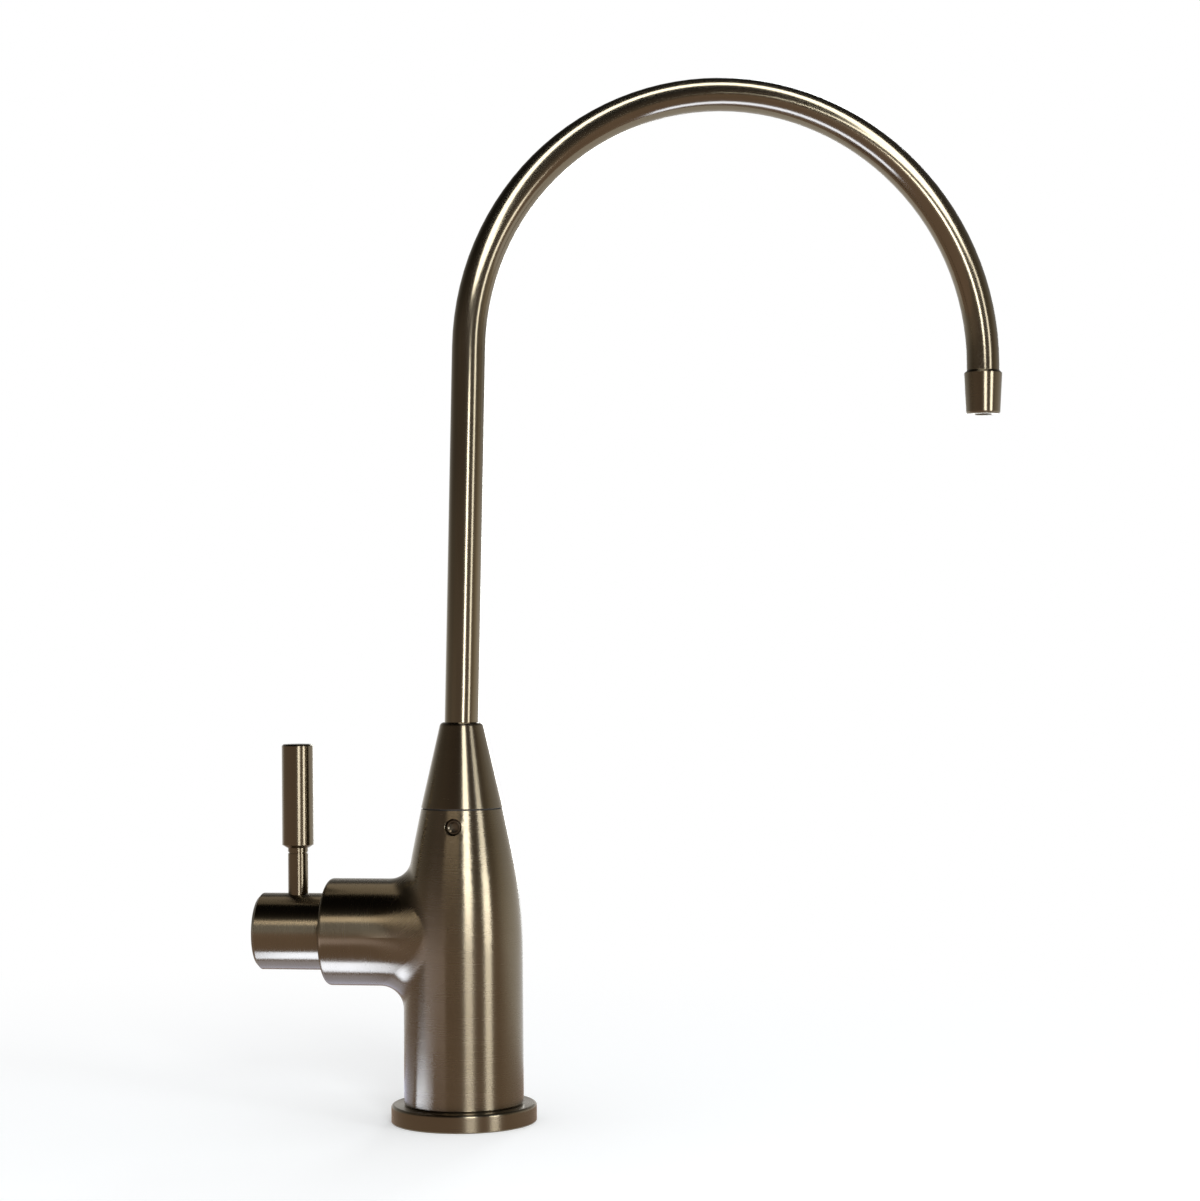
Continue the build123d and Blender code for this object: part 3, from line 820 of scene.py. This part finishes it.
def moulded(name, tones, roughness, grain_size=0.0002, grain_depth=0.00001, gloss=0.5):
    """A moulded or pressed material with grain, soft clouds of colour and paler edges."""
    dark, light, worn_tone = tones
    material, tree = start_material(name)
    place = put(tree, "TexCoord").outputs["Object"]
    grained = put(tree, "Group", {"node_tree": grain}, Place=place, Grain_Size=grain_size)
    worn = put(tree, "Group", {"node_tree": edges}, Radius=moulded_edge)
    marked = put(tree, "Group", {"node_tree": marks}, Place=place)
    cloudy = spread(tree, grained.outputs["Clouds"], 0.3, 0.7, 0.0, 1.0)
    colour = blend_colours(tree, cloudy, dark, light)
    paler = compute(tree, "MULTIPLY", worn.outputs["Edge"], pale_share)
    colour = blend_colours(tree, paler, colour, worn_tone)
    rough = spread(tree, grained.outputs["Grain"], 0.3, 0.7, roughness - 0.05, roughness + 0.06)
    smudged = compute(tree, "MULTIPLY", marked.outputs["Smudges"], 0.06)
    rough = compute(tree, "ADD", rough, smudged)
    bump = put(tree, "Bump", Strength=0.5, Distance=grain_depth, Height=grained.outputs["Grain"],
               Normal=worn.outputs["Normal"])
    shader = put(tree, "BsdfPrincipled", Base_Color=colour, Roughness=rough, Normal=bump.outputs[0],
                 Specular_IOR_Level=gloss)
    show(tree, shader.outputs[0])
    return material


black_rubber = [(0.016, 0.016, 0.016, 1), (0.032, 0.031, 0.030, 1), (0.10, 0.10, 0.095, 1)]
black_plastic = [(0.030, 0.030, 0.031, 1), (0.048, 0.048, 0.049, 1), (0.14, 0.14, 0.14, 1)]
milky_plastic = [(0.70, 0.70, 0.66, 1), (0.80, 0.80, 0.77, 1), (0.88, 0.88, 0.86, 1)]
lapped_ceramic = [(0.78, 0.775, 0.75, 1), (0.86, 0.855, 0.84, 1), (0.93, 0.93, 0.92, 1)]
dress(moulded("matt_rubber", black_rubber, 0.66), "base_seal", "rubber_washer", "head_ring",
      "seat_seal", "spindle_rings", "spout_rings")
dress(moulded("black_plastic", black_plastic, 0.58, gloss=0.2), "slide_ring", "thrust_washer")
dress(moulded("milky_plastic", milky_plastic, 0.36), "inlet_ferrule")
dress(moulded("lapped_ceramic", lapped_ceramic, 0.16, grain_size=0.00008, grain_depth=0.000002),
      "fixed_disc", "moving_disc")
print("materials:", len(bpy.data.materials))

# %% [markdown]
# ## Turned solids
#
# The screws need plain turned solids: one to cut a thread to length with chamfered ends, and
# others to bore it. A filled circle is extruded upwards and widened or narrowed at each step,
# which is how such a shape grows on paper too: station by station along its axis.
#
# Blender's cutting tools compare distances with fixed small numbers, and in metres a fine
# thread comes close to them. So the screws are drawn in millimetres, a thousand times too
# large, and are brought down to their size when they are finished.

# %% Make turned solids
round_sides = 48
weld_distance = 0.001


def select_only(piece):
    """Selects one piece and makes it the active one."""
    bpy.ops.object.select_all(action="DESELECT")
    piece.select_set(True)
    bpy.context.view_layer.objects.active = piece


def turned_solid(name, stations, sides=round_sides):
    """An upright solid through (radius, height) stations, in millimetres."""
    bpy.ops.object.select_all(action="DESELECT")
    (radius, height), *further = stations
    bpy.ops.mesh.primitive_circle_add(
        vertices=sides, radius=radius, fill_type="NGON", location=(0, 0, height))
    piece = bpy.context.object
    piece.name = name
    bpy.ops.object.mode_set(mode="EDIT")
    bpy.ops.mesh.select_all(action="SELECT")
    for next_radius, next_height in further:
        bpy.ops.mesh.extrude_region_move(
            TRANSFORM_OT_translate={"value": (0, 0, next_height - height)})
        growth = next_radius / radius
        bpy.ops.transform.resize(value=(growth, growth, 1), center_override=(0, 0, next_height))
        radius, height = next_radius, next_height
    bpy.ops.mesh.select_all(action="SELECT")
    bpy.ops.mesh.normals_make_consistent(inside=False)
    bpy.ops.object.mode_set(mode="OBJECT")
    bpy.ops.object.transform_apply(location=True, rotation=True, scale=True)
    return piece


def combine(piece, tool, operation):
    """Cuts a piece with a tool, or keeps what they share, and removes the tool."""
    select_only(piece)
    cut = piece.modifiers.new("cut", "BOOLEAN")
    cut.operation, cut.solver, cut.object = operation, "EXACT", tool
    bpy.ops.object.modifier_apply(modifier="cut")
    bpy.data.objects.remove(tool)
    bpy.ops.object.mode_set(mode="EDIT")
    bpy.ops.mesh.select_all(action="SELECT")
    bpy.ops.mesh.remove_doubles(threshold=weld_distance)
    bpy.ops.object.mode_set(mode="OBJECT")


# %% [markdown]
# ## Screw threads
#
# A thread is one profile that climbs round an axis. It could be a texture, but a thread shows
# in the outline, so it is worth real geometry. One corner point is extruded into the profile
# of a single turn, crest, flank, root and flank, and the Screw modifier turns and lifts it by
# one pitch a turn. The ends are cut flat and closed, and a turned solid then trims the rod.

# %% Cut threads
MM = 1000
thread_profile = [(0, 0.125), (-0.5413, 0.3125), (0, 0.25), (0.5413, 0.3125)]
turns_below = 1.5
spare_turns = 4
envelope_room = 1.02
smooth_angle = radians(28)


def threaded_rod(name, pitch, stations):
    """A threaded rod, trimmed to a turned solid's stations; its thread is the widest of them."""
    radius = max(station[0] for station in stations)
    low, high = stations[0][1] - pitch / 4, stations[-1][1] + pitch / 4
    bpy.ops.object.select_all(action="DESELECT")
    bpy.ops.mesh.primitive_plane_add(size=pitch, location=(radius, 0, low - pitch * turns_below))
    rod = bpy.context.object
    rod.name = name
    bpy.ops.object.mode_set(mode="EDIT")
    bpy.ops.mesh.select_mode(type="VERT")
    bpy.ops.mesh.select_all(action="SELECT")
    bpy.ops.mesh.merge(type="CENTER")
    for outwards, upwards in thread_profile:
        bpy.ops.mesh.extrude_vertices_move(
            TRANSFORM_OT_translate={"value": (outwards * pitch, 0, upwards * pitch)})
    bpy.ops.object.mode_set(mode="OBJECT")
    bpy.ops.object.transform_apply(location=True, rotation=True, scale=True)
    climb = rod.modifiers.new("climb", "SCREW")
    climb.screw_offset, climb.iterations = pitch, int((high - low) / pitch) + spare_turns
    climb.steps = climb.render_steps = round_sides
    bpy.ops.object.modifier_apply(modifier="climb")
    bpy.ops.object.mode_set(mode="EDIT")
    for end, outer in ((low, -1), (high, 1)):
        bpy.ops.mesh.select_all(action="SELECT")
        bpy.ops.mesh.remove_doubles(threshold=pitch / 500)
        bpy.ops.mesh.select_all(action="SELECT")
        bpy.ops.mesh.bisect(
            plane_co=(0, 0, end), plane_no=(0, 0, outer), clear_outer=True, use_fill=True)
    bpy.ops.mesh.select_all(action="SELECT")
    bpy.ops.mesh.normals_make_consistent(inside=False)
    bpy.ops.object.mode_set(mode="OBJECT")
    envelope = [
        (width * envelope_room if width == radius else width, height) for width, height in stations]
    combine(rod, turned_solid(name + "_envelope", envelope), "INTERSECT")
    return rod


def finish_piece(piece, node, material):
    """Brings a piece down to metres, smooths it and puts it in its node's place."""
    select_only(piece)
    bpy.ops.transform.resize(value=(1 / MM, 1 / MM, 1 / MM), center_override=(0, 0, 0))
    bpy.ops.object.transform_apply(location=True, rotation=True, scale=True)
    bpy.ops.object.shade_smooth_by_angle(angle=smooth_angle)
    piece.data.materials.clear()
    piece.data.materials.append(material)
    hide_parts(node)
    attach(piece, "tap_body")
    edge_uses = {}
    for face in piece.data.polygons:
        for key in face.edge_keys:
            edge_uses[key] = edge_uses.get(key, 0) + 1
    open_edges = sum(1 for uses in edge_uses.values() if uses != 2)
    print(piece.name, "faces:", len(piece.data.polygons), "open edges:", open_edges)


# %% [markdown]
# The shank has the fine thread that such taps share, 24 turns to the inch, a chamfered lower
# end, a bore for the water and a wider socket below it for the pipe.

# %% Make the threaded shank
inch = 25.4
shank_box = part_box("threaded_shank")
shank_low, shank_high = shank_box[0].z * MM, shank_box[1].z * MM
shank_radius = shank_box[1].x * MM
shank_chamfer = 0.7
shank_bore = 2.6
pipe_radius = 3.2
pipe_depth = 14.0
clear = 2.0

shank = threaded_rod("shank_thread", inch / 24, [
    (shank_radius - shank_chamfer, shank_low), (shank_radius, shank_low + shank_chamfer),
    (shank_radius, shank_high)])
combine(shank, turned_solid("bore", [
    (pipe_radius, shank_low - clear), (pipe_radius, shank_low + pipe_depth),
    (shank_bore, shank_low + pipe_depth), (shank_bore, shank_high + clear)]), "DIFFERENCE")
finish_piece(shank, "threaded_shank", brushed_metal("brass_shank", tap_axis, brass, **lathe))

# %% [markdown]
# The grub screw shows its face in a hole on the body's front. A real one has a broad chamfer
# round the face, which draws a bright ring, a six-sided socket with a small countersink, and
# a thin point that runs in the spout's groove. It is turned upright and then tipped forwards.
# A lamp of its own, up on the right, puts a glint on the lower left of its countersink.

# %% Make the grub screw
screw_box = [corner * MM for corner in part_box("spout_grub_screw")]
screw_radius = screw_box[1].x
screw_middle = (screw_box[0].z + screw_box[1].z) / 2
screw_head, screw_tip = -screw_box[0].y, -screw_box[1].y
screw_pitch = 0.8
tip_radius = 1.6
tip_length = 1.0
tip_chamfer = 0.3
tip_slope = 0.6
screw_chamfer = 0.55
key_width = 2.5
key_sides = 6
socket_corner = key_width / 2 / cos(radians(30))
socket_depth = 2.2
sink_depth = 0.3
sink_foot, sink_rim = socket_corner * 0.88, socket_corner * 1.12

screw = threaded_rod("grub_screw", screw_pitch, [
    (tip_radius - tip_chamfer, screw_tip), (tip_radius, screw_tip + tip_chamfer),
    (tip_radius, screw_tip + tip_length), (screw_radius, screw_tip + tip_length + tip_slope),
    (screw_radius, screw_head - screw_chamfer), (screw_radius - screw_chamfer, screw_head)])
combine(screw, turned_solid("socket", [
    (socket_corner, screw_head - socket_depth), (socket_corner, screw_head + clear)],
    key_sides), "DIFFERENCE")
combine(screw, turned_solid("countersink", [
    (sink_foot, screw_head - sink_depth), (sink_rim, screw_head),
    (sink_rim, screw_head + clear)]), "DIFFERENCE")
screw.rotation_euler = (pi / 2, 0, 0)
screw.location = (0, 0, screw_middle)
select_only(screw)
bpy.ops.object.transform_apply(location=True, rotation=True, scale=True)
screw_axis = turned_lines((0, 0, screw_middle / MM), (0, 1, 0))
screw_tones = [(0.110, 0.092, 0.068, 1), (0.165, 0.140, 0.105, 1), (0.50, 0.44, 0.34, 1)]
finish_piece(screw, "spout_grub_screw", brushed_metal(
    "screw_steel", screw_axis, screw_tones, smear=0.10, focus=0.05, line_width=0.00015,
    line_length=0.003))
screw_face = Vector((0, -screw_head, screw_middle)) / MM
glint = soft_box("screw_glint", 67, 48, 1.0, 0.36, 0.36, 14.0, warm, aim_at=screw_face)
lamp_for(glint, "grub_screw_alone", ["grub_screw"])
